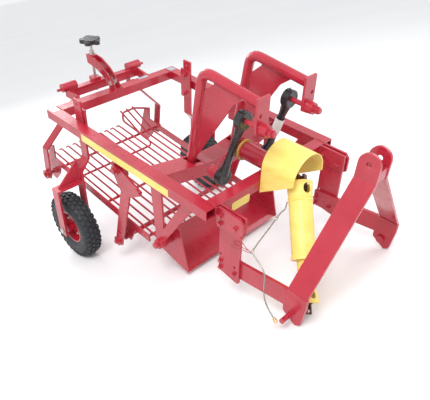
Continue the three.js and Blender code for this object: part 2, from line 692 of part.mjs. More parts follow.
// Cross and yoke, guard tubes and bells of the drive shaft.
{
  const cross = [bar(at(0, -33), at(0, 33), 8, 20), bar(at(0, 0, -31), at(0, 0, 31), 8, 20)];
  const ears = [-1, 1].map((s) => {
    const ear = block(-15, 15, -5, 5, -14, 46);
    const across = PIN_AXIS.clone().cross(HANG);
    const basis = new THREE.Matrix4().makeBasis(PIN_AXIS, across, HANG.clone().negate());
    const flip = new THREE.Matrix4().makeRotationX(Math.PI);
    basis.setPosition(new THREE.Vector3(...at(0, 0, s * 27)));
    return ear.applyMatrix4(flip).applyMatrix4(basis);
  });
  const disc = bar(at(42), at(58), 33, 16);
  const core = bar(at(50), at(225), 13, 16);
  add('joint_yoke', join(...cross, ...ears, disc, core), 'steel');
}
{
  const upper = [
    [20, 56], [20, 60], [24, 60], [80, 54], [88, 54], [88, 56.5], [95, 56.5], [95, 54], [104, 54],
    [104, 56.5], [111, 56.5], [111, 53.5], [352, 53], [352, 57], [370, 57], [370, 32.4], [360, 32.4],
    [360, 50], [132, 50], [132, 13.3], [122, 13.3], [122, 50], [24, 55], [20, 56],
  ];
  add('upper_guard', turned(upper, JOINT, HANG.toArray(), 20), 'yellow');
  const lower = [
    [240, 31.8], [470, 31.8], [474, 40], [488, 42], [490, 45], [556, 57], [556, 53], [492, 41], [480, 37],
    [478, 13.3], [466, 13.3], [466, 27], [240, 27], [240, 31.8],
  ];
  add('lower_guard', turned(lower, JOINT, HANG.toArray(), 20), 'yellow');
}
{
  const core = bar(at(330), at(560), 13, 16);
  const disc = bar(at(545), at(562), 26, 16);
  const ears = [-1, 1].map((s) => {
    const ear = block(-5, 5, -12, 12, 0, 48);
    const basis = new THREE.Matrix4().makeBasis(PIN_AXIS, PIN_AXIS.clone().cross(HANG).negate(), HANG);
    basis.setPosition(new THREE.Vector3(...at(556, s * 20)));
    return ear.applyMatrix4(basis);
  });
  add('tractor_yoke', cut(join(core, disc, ...ears), bar(at(590, -50), at(590, 50), 7, 16)), 'black');
}

// Restraint cable and its tie wire, each along a hand-laid line.
function cord(name, points, radius, steps) {
  const curve = new THREE.CatmullRomCurve3(points.map((p) => new THREE.Vector3(...p)), false, 'centripetal');
  const shape = circleShape(radius, 8);
  add(name, new THREE.ExtrudeGeometry(shape, { steps, extrudePath: curve, bevelEnabled: false }), 'wire');
}
cord('restraint_cable', [
  [-98, -1406, 794], [-122, -1417, 775], [-138, -1409, 757], [-160, -1404, 735], [-215, -1411, 712],
  [-285, -1430, 710],
  [-345, -1449, 711], [-392, -1472, 717], [-402, -1506, 705], [-412, -1543, 693], [-418, -1565, 668],
  [-420, -1570, 615], [-422, -1575, 571], [-426, -1588, 541], [-431, -1613, 514], [-437, -1644, 497],
  [-443, -1667, 490],
], 3.2, 56);
cord('tie_wire', [
  [-370, -1398, 752], [-381, -1398, 752], [-387, -1398, 752], [-393, -1398, 751.5], [-397, -1416, 740],
  [-398, -1445, 724],
  [-396.2, -1470.5, 715], [-397, -1450, 708], [-394, -1425, 700], [-390, -1398, 688], [-388, -1372, 676],
  [-387, -1350, 673], [-387, -1343, 680], [-387, -1352, 693], [-388, -1375, 701], [-391, -1402, 706],
  [-394, -1428, 712], [-396, -1446, 716],
], 1.8, 48);

// ---- parked stance: turned about X until the arm ends and the wheels share one floor ----
const reach = Math.hypot(WHEEL_Y - ARM_END_Y, ARM_END_Z - WHEEL_R);
const PARK_TILT = Math.asin(WHEEL_R / reach) + Math.atan2(ARM_END_Z - WHEEL_R, WHEEL_Y - ARM_END_Y);
const turnX = new THREE.Matrix4().makeRotationX(PARK_TILT);
for (const mesh of placed) mesh.geometry.applyMatrix4(turnX);
const bounds = new THREE.Box3();
for (const mesh of placed) {
  mesh.geometry.computeBoundingBox();
  bounds.union(mesh.geometry.boundingBox);
}
const centre = bounds.getCenter(new THREE.Vector3());
for (const mesh of placed) {
  mesh.geometry.translate(-centre.x, -centre.y, -bounds.min.z);
  mesh.geometry.computeVertexNormals();
}

group.userData = { tilt: PARK_TILT, shift: [-centre.x, -centre.y, -bounds.min.z] };

export default group;
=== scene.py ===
"""The looks of a mounted potato harvester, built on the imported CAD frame."""

import json
import math
import random

import bmesh
import bpy
from mathutils import Matrix, Vector


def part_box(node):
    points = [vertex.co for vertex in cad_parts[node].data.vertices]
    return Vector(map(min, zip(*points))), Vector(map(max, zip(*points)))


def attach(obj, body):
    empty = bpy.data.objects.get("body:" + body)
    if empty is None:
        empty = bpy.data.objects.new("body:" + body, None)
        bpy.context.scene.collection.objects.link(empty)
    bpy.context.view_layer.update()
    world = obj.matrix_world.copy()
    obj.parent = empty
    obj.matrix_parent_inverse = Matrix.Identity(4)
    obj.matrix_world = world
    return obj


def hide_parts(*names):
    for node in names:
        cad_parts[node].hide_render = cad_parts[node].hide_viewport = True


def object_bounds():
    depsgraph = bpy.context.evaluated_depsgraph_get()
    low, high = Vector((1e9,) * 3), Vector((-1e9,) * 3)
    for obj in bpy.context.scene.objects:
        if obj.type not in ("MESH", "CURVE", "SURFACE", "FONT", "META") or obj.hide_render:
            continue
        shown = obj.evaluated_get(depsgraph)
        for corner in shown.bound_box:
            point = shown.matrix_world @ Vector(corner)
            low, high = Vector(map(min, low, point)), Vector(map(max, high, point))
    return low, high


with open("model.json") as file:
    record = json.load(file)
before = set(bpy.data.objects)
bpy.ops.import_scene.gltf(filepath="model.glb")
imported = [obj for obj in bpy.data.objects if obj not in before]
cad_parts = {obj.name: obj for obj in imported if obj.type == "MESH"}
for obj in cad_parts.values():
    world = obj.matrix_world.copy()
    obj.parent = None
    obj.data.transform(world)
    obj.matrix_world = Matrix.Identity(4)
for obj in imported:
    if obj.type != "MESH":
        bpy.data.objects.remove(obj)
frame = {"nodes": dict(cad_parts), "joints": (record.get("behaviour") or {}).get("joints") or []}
cad_box = [list(corner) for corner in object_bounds()]

# ---- level frame ----
# The machine is drawn in millimetres with its beams level, Z up from the wheels' lowest
# point, Y from the rear beam's rear face and X from the middle. It stands nose down.
joints = {joint["name"]: joint for joint in frame["joints"]}
drive_axis = joints["drive"]["axis"]
TILT = math.atan2(drive_axis[2], drive_axis[1])
SIDES = (("right", -1), ("left", 1))
WHEEL = Vector((518, -221, 200))
BEAM_TOP = 835
BEAM_LOW = 785
SIDE_X = 450                # outer faces of the side beams
SIDE_INNER = 390            # and their inner faces
REAR_BEAM = (-60, 0)        # front and rear faces of the two beams across
FRONT_BEAM = (-1250, -1190)
HOOP_X = 155                # planes of the two levers
ROD_TOP = Vector((HOOP_X, -1166, 1126))
ROD_LOW = Vector((HOOP_X, -1058, 786))
SHAFT_Z = 866
JOINT = Vector((0, -1386, SHAFT_Z))
HANG = Vector((-285, -320, -362)).normalized()  # down the hanging drive shaft
HITCH_PIN = (-1685, 490)    # Y and Z of the hitch pins
SIEVE_PIVOTS = ((-543, 232), (172, 330))
SIEVE_RODS = 14
SIEVE_PITCH = 50

tyre_low, tyre_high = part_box("left_tyre")
turn = Matrix.Rotation(TILT, 4, "X") @ Matrix.Scale(0.001, 4)
LEVEL = Matrix.Translation((tyre_low + tyre_high) / 2 - turn @ WHEEL) @ turn


def at(x, y, z):
    """A point of the level frame, in metres in the CAD frame."""
    return LEVEL @ Vector((x, y, z))


def across(sign, point):
    """A point given for the left side, on the side that sign names."""
    return (sign * point[0], point[1], point[2])


def circle(centre, axis, radius, steps):
    """Points round a circle about a line along X or Y, with the first again at the end."""
    points = []
    for k in range(steps + 1):
        angle = 2 * math.pi * k / steps
        flat = radius * math.cos(angle)
        high = radius * math.sin(angle)
        points.append(Vector(centre) + Vector((0, flat, high) if axis == "X" else (flat, 0, high)))
    return points


# ---- camera ----
CAMERA_ANGLES = (-46.92, 39.23, 2.26)   # azimuth, elevation and roll in degrees
CAMERA_PLACE = (-1666, -2497, 2191)
LENS = 44.09
SHIFT = (-0.0225, 0.0583)


def make_camera():
    """A camera placed in the level frame and tilted with the parked machine."""
    azimuth, elevation, roll = (math.radians(a) for a in CAMERA_ANGLES)
    back = Vector((
        math.sin(azimuth) * math.cos(elevation),
        -math.cos(azimuth) * math.cos(elevation),
        math.sin(elevation),
    ))
    right = Vector((math.cos(azimuth), math.sin(azimuth), 0))
    up = back.cross(right)
    side = right * math.cos(roll) + up * math.sin(roll)
    top = up * math.cos(roll) - right * math.sin(roll)
    axes = Matrix((side, top, back)).transposed()
    data = bpy.data.cameras.new("camera")
    data.lens = LENS
    data.sensor_width = 36
    data.shift_x, data.shift_y = SHIFT
    data.clip_end = 100
    camera = bpy.data.objects.new("camera", data)
    bpy.context.scene.collection.objects.link(camera)
    rotation = Matrix.Rotation(TILT, 3, "X") @ axes
    camera.matrix_world = Matrix.Translation(at(*CAMERA_PLACE)) @ rotation.to_4x4()
    bpy.context.scene.camera = camera


make_camera()


# ---- materials ----
class Shader:
    """A Principled material with small helpers for its node tree."""

    def __init__(self, name, **values):
        self.material = bpy.data.materials.new(name)
        self.material.use_nodes = True
        self.nodes = self.material.node_tree.nodes
        self.links = self.material.node_tree.links
        self.bsdf = self.nodes["Principled BSDF"]
        for key, value in values.items():
            self.bsdf.inputs[key.replace("_", " ")].default_value = value
        self.place = self.nodes.new("ShaderNodeTexCoord").outputs["Object"]

    def noise(self, scale, detail=4, roughness=0.55, stretch=None):
        source = self.place
        if stretch:
            mapping = self.nodes.new("ShaderNodeMapping")
            mapping.inputs["Scale"].default_value = stretch
            self.links.new(source, mapping.inputs["Vector"])
            source = mapping.outputs["Vector"]
        node = self.nodes.new("ShaderNodeTexNoise")
        node.inputs["Scale"].default_value = scale
        node.inputs["Detail"].default_value = detail
        node.inputs["Roughness"].default_value = roughness
        self.links.new(source, node.inputs["Vector"])
        return node.outputs["Fac"]

    def ramp(self, source, stops):
        node = self.nodes.new("ShaderNodeValToRGB")
        elements = node.color_ramp.elements
        while len(elements) < len(stops):
            elements.new(0.5)
        for element, (position, color) in zip(elements, stops):
            element.position = position
            element.color = (*color, 1)
        self.links.new(source, node.inputs["Fac"])
        return node.outputs["Color"]

    def span(self, source, low, high, start=0.3, end=0.7):
        node = self.nodes.new("ShaderNodeMapRange")
        node.inputs["From Min"].default_value = start
        node.inputs["From Max"].default_value = end
        node.inputs["To Min"].default_value = low
        node.inputs["To Max"].default_value = high
        self.links.new(source, node.inputs["Value"])
        return node.outputs["Result"]

    def mix(self, factor, a, b):
        node = self.nodes.new("ShaderNodeMix")
        node.data_type = "RGBA"
        self.links.new(factor, node.inputs["Factor"])
        for socket, value in (("A", a), ("B", b)):
            target = next(i for i in node.inputs if i.name == socket and i.type == "RGBA")
            if isinstance(value, tuple):
                target.default_value = (*value, 1)
            else:
                self.links.new(value, target)
        return next(o for o in node.outputs if o.type == "RGBA")

    def bump(self, *layers):
        normal = None
        for height, strength, distance in layers:
            node = self.nodes.new("ShaderNodeBump")
            node.inputs["Strength"].default_value = strength
            node.inputs["Distance"].default_value = distance
            self.links.new(height, node.inputs["Height"])
            if normal:
                self.links.new(normal, node.inputs["Normal"])
            normal = node.outputs["Normal"]
        self.links.new(normal, self.bsdf.inputs["Normal"])

    def color(self, source):
        self.links.new(source, self.bsdf.inputs["Base Color"])

    def roughness(self, source):
        self.links.new(source, self.bsdf.inputs["Roughness"])

    def edge_wear_and_highlight(self, amount):
        """A mask of the rounded edges, broken up by noise, for a painted edge highlight and edge wear."""
        rounded = self.nodes.new("ShaderNodeBevel")
        rounded.samples = 5
        rounded.inputs["Radius"].default_value = 0.0028
        flat = self.nodes.new("ShaderNodeNewGeometry").outputs["Normal"]
        turn = self.nodes.new("ShaderNodeVectorMath")
        turn.operation = "DOT_PRODUCT"
        self.links.new(rounded.outputs["Normal"], turn.inputs[0])
        self.links.new(flat, turn.inputs[1])
        edge = self.span(turn.outputs["Value"], amount, 0, 0.9, 0.992)
        broken = self.span(self.noise(45, 5, 0.7), 0.15, 1, 0.42, 0.62)
        node = self.nodes.new("ShaderNodeMath")
        node.operation = "MULTIPLY"
        self.links.new(edge, node.inputs[0])
        self.links.new(broken, node.inputs[1])
        return node.outputs["Value"]


# The default edge tint, a light pink, is a painted highlight on the red's edges.
def painted(name, shades, roughness, coat=0.5, edge_highlight_and_wear_tint=(0.78, 0.16, 0.19)):
    """Sprayed enamel: cloudy colour, orange peel, faint dust, and a tint on the rounded edges that is a
    painted highlight where it is lighter than the paint and wear where it is darker.
    """
    s = Shader(name, Metallic=0.0, Coat_Weight=coat, Coat_Roughness=0.12, IOR=1.5)
    dark, plain, light = shades
    cloud = s.ramp(s.noise(5, 5), [(0.3, dark), (0.52, plain), (0.75, light)])
    dust = s.span(s.noise(2.5, 3, 0.5), 0, 0.05, 0.45, 0.7)
    dusty = s.mix(dust, cloud, tuple(min(1, c * 0.6 + 0.25) for c in plain))
    # The rounded edges take the edge tint: a painted highlight where it is lighter than the paint, wear
    # where it is darker.
    s.color(s.mix(s.edge_wear_and_highlight(0.55), dusty, edge_highlight_and_wear_tint))
    s.roughness(s.span(s.noise(22, 5), roughness - 0.07, roughness + 0.12))
    s.bump((s.noise(420, 2), 0.04, 0.0005), (s.noise(26, 3), 0.05, 0.0015))
    return s.material


RED_SHADES = ((0.36, 0.007, 0.022), (0.42, 0.010, 0.029), (0.47, 0.014, 0.037))
red = painted("red_enamel", RED_SHADES, 0.3)
weld_red = painted("red_weld", tuple(tuple(c * 0.92 for c in shade) for shade in RED_SHADES), 0.3)
black = painted(
    "black_enamel", ((0.004, 0.004, 0.005), (0.006, 0.006, 0.008), (0.010, 0.010, 0.012)),
    0.24, 0.25, (0.05, 0.05, 0.05),
)
decal_yellow = painted(
    "yellow_film", ((0.72, 0.58, 0.13), (0.78, 0.64, 0.16), (0.83, 0.70, 0.22)),
    0.42, 0.1, (0.5, 0.4, 0.1),
)
label_white = painted(
    "white_film", ((0.66, 0.67, 0.68), (0.74, 0.75, 0.76), (0.8, 0.8, 0.8)),
    0.45, 0.1, (0.5, 0.5, 0.5),
)


def moulded_yellow():
    """Slightly translucent plastic with flow streaks and grime."""
    s = Shader("moulded_yellow", IOR=1.46, Subsurface_Weight=0.06, Subsurface_Scale=0.004)
    s.bsdf.inputs["Subsurface Radius"].default_value = (1.0, 0.6, 0.2)
    streak = s.noise(9, 4, 0.5, (1, 1, 4))
    base = s.ramp(streak, [
        (0.25, (0.82, 0.60, 0.13)), (0.5, (0.89, 0.68, 0.17)), (0.8, (0.92, 0.74, 0.23)),
    ])
    grime = s.span(s.noise(34, 6, 0.7), 0, 0.3, 0.58, 0.8)
    s.color(s.mix(grime, base, (0.55, 0.36, 0.10)))
    s.roughness(s.span(s.noise(30, 5), 0.3, 0.5))
    s.bump((s.noise(300, 2), 0.05, 0.0008), (s.noise(14, 2), 0.08, 0.004))
    return s.material


def tyre_rubber():
    """Black rubber with pale dust in its grain."""
    s = Shader("tyre_rubber", IOR=1.5)
    base = s.ramp(s.noise(24, 6, 0.65), [(0.3, (0.010, 0.012, 0.015)), (0.6, (0.019, 0.022, 0.027))])
    dust = s.span(s.noise(60, 6, 0.7), 0, 0.35, 0.52, 0.78)
    s.color(s.mix(dust, base, (0.085, 0.09, 0.095)))
    s.roughness(s.span(s.noise(70, 4), 0.42, 0.7))
    s.bump((s.noise(500, 3), 0.2, 0.0008), (s.noise(60, 3), 0.12, 0.001))
    return s.material


def machined(name, shades, roughness, metallic=0.9):
    """Bare or plated metal with drawn grain."""
    s = Shader(name, Metallic=metallic)
    s.color(s.ramp(s.noise(40, 6, 0.65), [(0.3, shades[0]), (0.55, shades[1]), (0.8, shades[2])]))
    s.roughness(s.span(s.noise(90, 4), roughness - 0.08, roughness + 0.15))
    s.bump((s.noise(260, 3, 0.5, (1, 1, 6)), 0.12, 0.0006))
    return s.material


yellow = moulded_yellow()
tan_plastic = painted(
    "tan_plastic", ((0.42, 0.24, 0.04), (0.52, 0.31, 0.06), (0.6, 0.38, 0.09)),
    0.4, 0.1, (0.7, 0.5, 0.2),
)
rubber = tyre_rubber()
zinc = machined("zinc_plate", ((0.42, 0.41, 0.38), (0.58, 0.57, 0.54), (0.70, 0.69, 0.66)), 0.28)
brown_steel = machined(
    "oiled_steel", ((0.09, 0.045, 0.03), (0.17, 0.09, 0.06), (0.26, 0.17, 0.12)), 0.42, 0.7,
)
brass = machined("brass_plate", ((0.45, 0.30, 0.12), (0.62, 0.44, 0.20), (0.72, 0.56, 0.30)), 0.3)
strand = machined(
    "steel_strand", ((0.18, 0.17, 0.16), (0.36, 0.34, 0.32), (0.52, 0.50, 0.47)), 0.35, 0.8,
)
red_wire = machined(
    "red_wire", ((0.30, 0.03, 0.04), (0.45, 0.06, 0.07), (0.52, 0.12, 0.12)), 0.4, 0.1,
)
# Bluish-grey mirror-like colour of the patches on the beams' tops: a painted reflection.
painted_reflection_material = machined(
    "painted_reflection_film", ((0.36, 0.40, 0.46), (0.50, 0.54, 0.60), (0.62, 0.65, 0.70)), 0.3, 0.5,
)


# ---- mesh helpers, all in level millimetres ----
class Piece:
    """Collects geometry in the level frame and becomes one object on one body."""

    def __init__(self):
        self.mesh = bmesh.new()

    def frame_at(self, origin, along):
        """A matrix whose Z runs along a direction from an origin."""
        along = Vector(along).normalized()
        return Matrix.Translation(origin) @ along.to_track_quat("Z", "Y").to_matrix().to_4x4()

    def turned(self, origin, along, profile, sides=32):
        """A profile of (distance, radius) pairs turned about a line."""
        place = self.frame_at(origin, along)
        rings = []
        for distance, radius in profile:
            ring = []
            for k in range(sides):
                angle = 2 * math.pi * k / sides
                spot = Vector((radius * math.cos(angle), radius * math.sin(angle), distance))
                ring.append(self.mesh.verts.new(place @ spot))
            rings.append(ring)
        for a, b in zip(rings, rings[1:]):
            for k in range(sides):
                n = (k + 1) % sides
                self.mesh.faces.new((a[k], a[n], b[n], b[k]))
        if profile[0] != profile[-1]:
            self.mesh.faces.new(list(reversed(rings[0])))
            self.mesh.faces.new(rings[-1])
        else:
            bmesh.ops.remove_doubles(self.mesh, verts=rings[0] + rings[-1], dist=1e-4)
        return self

    def bolt(self, origin, along, size=17, washer=True, nut=False):
        """A hex head or a nut with its stud end, chamfered, on a washer."""
        r = size / 2 / math.cos(math.pi / 6)
        base = 0
        if washer:
            self.turned(origin, along, [(0, r * 1.25), (1.6, r * 1.3), (2.2, r * 1.22)], 24)
            base = 2.2
        height = size * (0.85 if nut else 0.62)
        self.turned(origin, along, [
            (base, r * 0.94), (base + 0.9, r), (base + height - 1.4, r), (base + height, r * 0.86),
        ], 6)
        if nut:
            stud = size * 0.32
            turns = [(base + height - 1, stud)]
            for k in range(4):
                turns.append((base + height + 1.2 * k + 0.4, stud * 0.9))
                turns.append((base + height + 1.2 * k + 1.0, stud))
            self.turned(origin, along, turns, 16)
        return self

    def bead(self, points, radius=3.2, pitch=3.4):
        """A weld bead: a rippled rounded rib along a line of points."""
        points = [Vector(p) for p in points]
        for a, b in zip(points, points[1:]):
            span = b - a
            count = max(2, int(span.length / pitch))
            place = self.frame_at(a, span)
            rings = []
            for i in range(count * 2 + 1):
                swell = radius * (1.0 if i % 2 else 0.8) * random.uniform(0.94, 1.06)
                if i in (0, count * 2):
                    swell *= 0.5
                step = span.length * i / (count * 2)
                ring = []
                for k in range(8):
                    angle = math.pi * k / 4
                    ring.append(self.mesh.verts.new(
                        place @ Vector((swell * math.cos(angle), swell * math.sin(angle), step))
                    ))
                rings.append(ring)
            for p, q in zip(rings, rings[1:]):
                for k in range(8):
                    n = (k + 1) % 8
                    self.mesh.faces.new((p[k], p[n], q[n], q[k]))
            self.mesh.faces.new(list(reversed(rings[0])))
            self.mesh.faces.new(rings[-1])
        return self

    def seam(self, sign, start, end, radius):
        """A straight weld bead on the side that sign names."""
        return self.bead([across(sign, start), across(sign, end)], radius)

    def slab(self, corners, lift, thickness=0.5):
        """A thin film on a flat face: its outline and the direction that it faces."""
        lift = Vector(lift).normalized()
        low = [self.mesh.verts.new(Vector(c) + lift * 0.05) for c in corners]
        high = [self.mesh.verts.new(Vector(c) + lift * thickness) for c in corners]
        self.mesh.faces.new(low)
        self.mesh.faces.new(list(reversed(high)))
        for k in range(len(corners)):
            n = (k + 1) % len(corners)
            self.mesh.faces.new((low[n], low[k], high[k], high[n]))
        return self

    def finish(self, name, material, body, smooth=True, angle=35):
        """Makes the object, in metres in the CAD frame, and hands it to its body."""
        bmesh.ops.recalc_face_normals(self.mesh, faces=self.mesh.faces)
        self.mesh.transform(LEVEL)
        data = bpy.data.meshes.new(name)
        self.mesh.to_mesh(data)
        self.mesh.free()
        data.materials.append(material)
        if smooth:
            data.shade_smooth()
            data.set_sharp_from_angle(angle=math.radians(angle))
        piece = bpy.data.objects.new(name, data)
        bpy.context.scene.collection.objects.link(piece)
        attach(piece, body)
        return piece


random.seed(4)


# ---- cords ----
def catmull(points, steps):
    """A centripetal curve through the points, sampled evenly in its own parameter."""
    points = [Vector(p) for p in points]
    ends = [points[0] * 2 - points[1]] + points + [points[-1] * 2 - points[-2]]

    def between(first, last, start, end, u):
        """The point at u on the straight from first, at start, to last, at end."""
        return first * ((end - u) / (end - start)) + last * ((u - start) / (end - start))

    line = []
    for i in range(1, len(ends) - 2):
        p = ends[i - 1:i + 3]
        t = [0.0]
        for a, b in zip(p, p[1:]):
            t.append(t[-1] + max((b - a).length, 1e-6) ** 0.5)
        for k in range(steps):
            u = t[1] + (t[2] - t[1]) * k / steps
            a = [between(p[j], p[j + 1], t[j], t[j + 1], u) for j in range(3)]
            b = [between(a[j], a[j + 1], t[j], t[j + 2], u) for j in range(2)]
            line.append(between(b[0], b[1], t[1], t[2], u))
    line.append(points[-1])
    return line


def make_cord(name, node, points, radius, material, strands, with_pieces=()):
    """A laid cord: strands that wind round the line of the points."""
    line = catmull(points, 10)
    piece = Piece()
    along = 0.0
    rings = []
    normal = Vector((0, 0, 1))
    around = 16
    for i, spot in enumerate(line):
        ahead = line[min(i + 1, len(line) - 1)] - line[max(i - 1, 0)]
        ahead.normalize()
        normal = (normal - ahead * normal.dot(ahead)).normalized()
        other = ahead.cross(normal)
        if i:
            along += (spot - line[i - 1]).length
        ring = []
        for k in range(around):
            angle = 2 * math.pi * k / around
            swell = radius * (0.93 + 0.07 * math.cos(strands * angle + along * 0.7))
            ring.append(piece.mesh.verts.new(
                spot + (normal * math.cos(angle) + other * math.sin(angle)) * swell
            ))
        rings.append(ring)
    for a, b in zip(rings, rings[1:]):
        for k in range(around):
            n = (k + 1) % around
            piece.mesh.faces.new((a[k], a[n], b[n], b[k]))
    piece.mesh.faces.new(list(reversed(rings[0])))
    piece.mesh.faces.new(rings[-1])
    cord = piece.finish(name, material, "frame")
    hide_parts(node)


# Both routes are the ones that the CAD sweeps.
CABLE = [
    (-98, -1406, 794), (-122, -1417, 775), (-138, -1409, 757), (-160, -1404, 735), (-215, -1411, 712),
    (-285, -1430, 710), (-345, -1449, 711), (-392, -1472, 717), (-402, -1506, 705), (-412, -1543, 693),
    (-418, -1565, 668), (-420, -1570, 615), (-422, -1575, 571), (-426, -1588, 541), (-431, -1613, 514),
    (-437, -1644, 497), (-443, -1667, 490),
]
TIE = [
    (-370, -1398, 752), (-381, -1398, 752), (-387, -1398, 752), (-393, -1398, 751.5), (-397, -1416, 740),
    (-398, -1445, 724), (-396.2, -1470.5, 715), (-397, -1450, 708), (-394, -1425, 700),
    (-390, -1398, 688), (-388, -1372, 676), (-387, -1350, 673), (-387, -1343, 680), (-387, -1352, 693),
    (-388, -1375, 701), (-391, -1402, 706), (-394, -1428, 712), (-396, -1446, 716),
]


def cable_fittings():
    """The two clips on the cable and the ferrule at its end."""
    clip = Piece()
    for point, ahead in ((CABLE[3], Vector(CABLE[4]) - Vector(CABLE[2])),
                         (CABLE[7], Vector(CABLE[8]) - Vector(CABLE[6]))):
        clip.turned(point, ahead, [(-9, 4), (-8, 6.5), (-2, 7), (0, 5.5), (2, 7), (8, 6.5), (9, 4)], 20)
    clip.turned(Vector(CABLE[3]) + Vector((-4, 0, 9)), (1, 0, 0.2), [(-5, 3.6), (5, 3.6)], 6)
    clips = clip.finish("cable_clips", zinc, "frame")
    ferrule = Piece()
    ahead = Vector(CABLE[-1]) - Vector(CABLE[-2])
    ferrule.turned(CABLE[-1], ahead, [(-16, 4), (-15, 7), (-4, 8), (6, 7), (8, 4)], 24)
    return clips, ferrule.finish("cable_ferrule", brass, "frame")


make_cord("restraint_cable_looks", "restraint_cable", CABLE, 3.2, strand, 6, cable_fittings())
make_cord("tie_wire_looks", "tie_wire", TIE, 1.8, red_wire, 2)


# ---- tyres ----
TREAD_PITCHES = 34
TREAD_ROWS = ((-34, 13), (-12, 15), (12, 15), (34, 13))     # offset and width of each row
TREAD_CENTRE = (190.0, 199.6)                               # foot and top of the middle rows
TREAD_SHOULDER = (185.5, 195.0)
BLOCK_OUTLINE = (
    (-1, -0.62), (-0.55, -1), (0.55, -1), (1, -0.5), (1, 0.62), (0.55, 1), (-0.55, 1), (-1, 0.5),
)


def tyre(side_name, sign):
    """A carcass with raised rings on its sidewalls and a dense pattern of tread blocks."""
    centre = Vector((sign * WHEEL.x, WHEEL.y, WHEEL.z))
    piece = Piece()
    half = [
        (0, 193.4), (12, 193), (30, 189.4), (41, 181), (46, 172), (48.2, 164), (49.4, 162),
        (49.6, 156), (48.6, 154), (49, 141), (49.4, 139.5), (48, 133), (45, 121), (43.6, 119.6),
        (43.4, 115), (41, 108), (38.5, 103), (37.5, 100),
    ]
    profile = [(-x, r) for x, r in reversed(half)] + half[1:]
    profile.append(profile[0])
    piece.turned(centre, (1, 0, 0), profile, 120)
    step = 2 * math.pi / TREAD_PITCHES

    def block(offset, angle, width, length, low, high, lean):
        """A tapered block whose top follows the crown."""
        out = Vector((0, math.sin(angle), math.cos(angle)))
        tangent = Vector((0, math.cos(angle), -math.sin(angle)))
        axis = Vector((1, 0, 0))
        normal = (out * math.cos(lean) + axis * math.sin(lean)).normalized()
        side = tangent.cross(normal).normalized()
        base = centre + axis * offset + out * low
        corners = []
        for height, shrink in ((0, 1.08), (high - low - 1.4, 0.95), (high - low, 0.84)):
            corners.append([
                piece.mesh.verts.new(
                    base + side * (u * width / 2 * shrink) + tangent * (v * length / 2 * shrink)
                    + normal * height
                ) for u, v in BLOCK_OUTLINE
            ])
        for a, b in zip(corners, corners[1:]):
            for k in range(8):
                n = (k + 1) % 8
                piece.mesh.faces.new((a[k], a[n], b[n], b[k]))
        piece.mesh.faces.new(corners[-1])
        piece.mesh.faces.new(list(reversed(corners[0])))

    for i in range(TREAD_PITCHES):
        for row, (offset, width) in enumerate(TREAD_ROWS):
            angle = step * (i + 0.5 * (row % 2))
            lean = math.radians(0.62 * offset)
            low, high = TREAD_CENTRE if abs(offset) < 20 else TREAD_SHOULDER
            block(offset, angle, width + 5, 27, low, high, lean)
        for side in (-1, 1):
            angle = step * (i + (0.5 if side > 0 else 0))
            block(side * 42.5, angle, 15, 20, 172, 178.5, side * math.radians(62))
    made = piece.finish(f"{side_name}_treaded_tyre", rubber, f"{side_name}_wheel", angle=28)
    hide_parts(f"{side_name}_tyre")


for side_name, sign in SIDES:
    tyre(side_name, sign)


# ---- wheels and columns ----
STUD_CIRCLE = 52
HUB_FACES = (-12, -2)       # from the wheel's middle plane


def wheel_details(name, sign):
    """Hub bolts, valve and hub weld."""
    centre = Vector((sign * WHEEL.x, WHEEL.y, WHEEL.z))
    near, far = HUB_FACES
    studs = Piece()
    for k in range(4):
        angle = math.pi / 4 + math.pi / 2 * k
        spot = Vector((0, STUD_CIRCLE * math.cos(angle), STUD_CIRCLE * math.sin(angle)))
        studs.bolt(centre + Vector((near, 0, 0)) + spot, (-1, 0, 0), 12)
        studs.bolt(centre + Vector((far, 0, 0)) + spot, (1, 0, 0), 12, nut=True)
    studs.finish(f"{name}_hub_bolts", zinc, f"{name}_wheel")
    valve = Piece()
    valve.turned(centre + Vector((-36, 0, 86)), (-1, 0, 0.25), [
        (-6, 4.5), (2, 4), (3, 3), (14, 3), (15, 2.2), (17, 2.2),
    ], 14)
    valve.finish(f"{name}_valve", rubber, f"{name}_wheel")
    seams = Piece()
    seams.bead(circle(centre + Vector((near - 0.5, 0, 0)), "X", 24, 20), 2.2, 3)
    seams.finish(f"{name}_hub_weld", weld_red, f"{name}_wheel")


def column_details(name, sign):
    """Welds of the fork, clamp bolts and the nut at the axle's outer end."""
    y = WHEEL.y
    seams = Piece()
    for dy in (-30, 30):
        seams.seam(sign, (444.5, y + dy, 472), (444.5, y + dy, 488), 2.6)
        seams.seam(sign, (592, y + dy * 0.95, 473), (592, y + dy * 0.95, 487), 2.6)
    for dy in (-6.5, 6.5):
        seams.seam(sign, (445.5, y + dy, 490), (445.5, y + dy, 618), 2.6)
        seams.seam(sign, (448, y + dy, 487), (580, y + dy, 487), 2.6)
    seams.finish(f"{name}_column_weld", weld_red, "frame")
    bolts = Piece()
    for z in (756, 872):
        bolts.bolt(across(sign, (356.5, y, z)), (-sign, 0, 0), 17)
    bolts.finish(f"{name}_clamp_bolts", red, "frame")
    nuts = Piece()
    nuts.turned(across(sign, (605.2, y, WHEEL.z)), (sign, 0, 0), [(0, 19), (1.8, 20), (2.4, 18.6)], 32)
    nuts.turned(across(sign, (606, y, WHEEL.z)), (sign, 0, 0), [
        (0, 16), (1, 17), (6.8, 17), (8.2, 15),
    ], 6)
    nuts.finish(f"{name}_axle_nut", zinc, "frame")


for side_name, sign in SIDES:
    wheel_details(side_name, sign)
    column_details(side_name, sign)


# ---- brackets, arms and headstock ----
# Outer face, inner face and size of each group of bolts, and their places in Y and Z.
BRACKET_BOLTS = (
    (389, 353.8, 19, ((-1277, 799), (-1277, 757), (-1364, 778))),
    (378, 349.5, 17, ((-1276, 534), (-1276, 494), (-1362, 505))),
)


